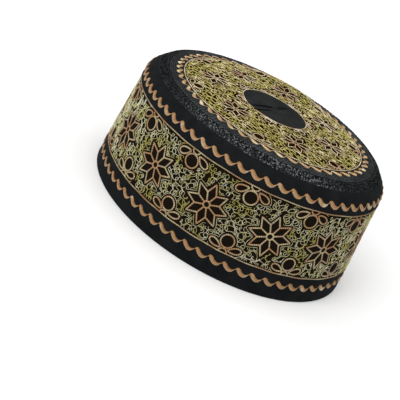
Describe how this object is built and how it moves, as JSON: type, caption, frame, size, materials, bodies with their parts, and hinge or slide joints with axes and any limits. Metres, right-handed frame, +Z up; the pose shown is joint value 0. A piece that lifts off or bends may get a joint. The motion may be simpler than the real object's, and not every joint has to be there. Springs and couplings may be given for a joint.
{
  "type": "embroidered pillbox prayer cap",
  "caption": "Round stiff cloth prayer cap, open below for the head, with a side that flares to its rim, a domed crown and a braid round the crown's seam.",
  "frame": {"origin": "on the surface that the rim rests on, under the middle of the cap", "axes": "+Z up through the crown; the front of the cap faces -Y, and the cap is longest along Y"},
  "size_m": [0.1774, 0.1924, 0.0839],
  "materials": {
    "black_cloth": "matte black woven cotton, stiffened, close weave",
    "black_braid": "black looped braid with a slight sheen",
    "orange_satin": "orange and tan satin stitch with a silky sheen",
    "gold_thread": "tan and gold couched outline thread",
    "olive_thread": "pale yellow green fine fill thread"
  },
  "bodies": {
    "root": {"side_panel": "black_cloth", "top_band": "black_cloth", "crown_top": "black_cloth", "edge_braid": "black_braid"}
  },
  "joints": []
}
